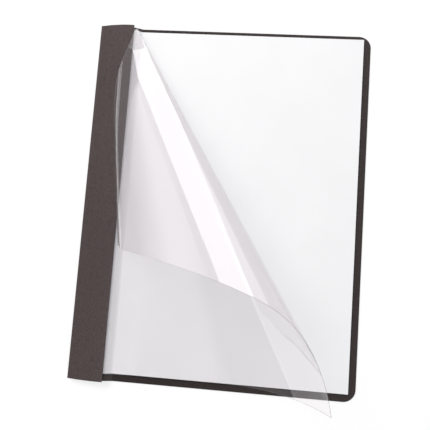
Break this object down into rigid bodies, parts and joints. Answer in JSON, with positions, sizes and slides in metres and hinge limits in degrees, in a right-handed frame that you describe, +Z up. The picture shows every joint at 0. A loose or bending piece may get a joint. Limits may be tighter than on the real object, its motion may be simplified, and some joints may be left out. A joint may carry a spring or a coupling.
{
  "type": "report cover",
  "caption": "Clear-front report cover for punched letter sheets: leather-grained card back, spine and binding strip, film front curled open.",
  "frame": {"origin": "middle of the back panel's underside, on the surface that the cover lies on", "axes": "+X from the spine to the free edge, +Y up the page, +Z up from the surface, out of the front"},
  "size_m": [0.223, 0.2897, 0.0922],
  "materials": {
    "leather_card": "leather-grain embossed",
    "plain_card": "matt",
    "tang_metal": "bright",
    "white_paper": "uncoated",
    "clear_film": "clear gloss"
  },
  "bodies": {
    "back": {"back_cover": "leather_card", "binding_strip": "plain_card", "fastener_bottom": "tang_metal", "fastener_middle": "tang_metal", "fastener_top": "tang_metal", "paper_sheets": "white_paper"},
    "strip": {"front_strip": "leather_card", "clear_cover_margin": "clear_film"},
    "film": {"clear_cover": "clear_film"}
  },
  "joints": [
    {"name": "spine_fold", "type": "hinge", "parent": "back", "child": "strip", "pos_m": [-0.1115, 0, 0.0045], "axis": [0, -1, 0], "range_deg": [0, 90]},
    {"name": "film_fold", "type": "hinge", "parent": "strip", "child": "film", "pos_m": [-0.08235, 0, 0.00775], "axis": [0, -1, 0], "range_deg": [0, 30]}
  ]
}
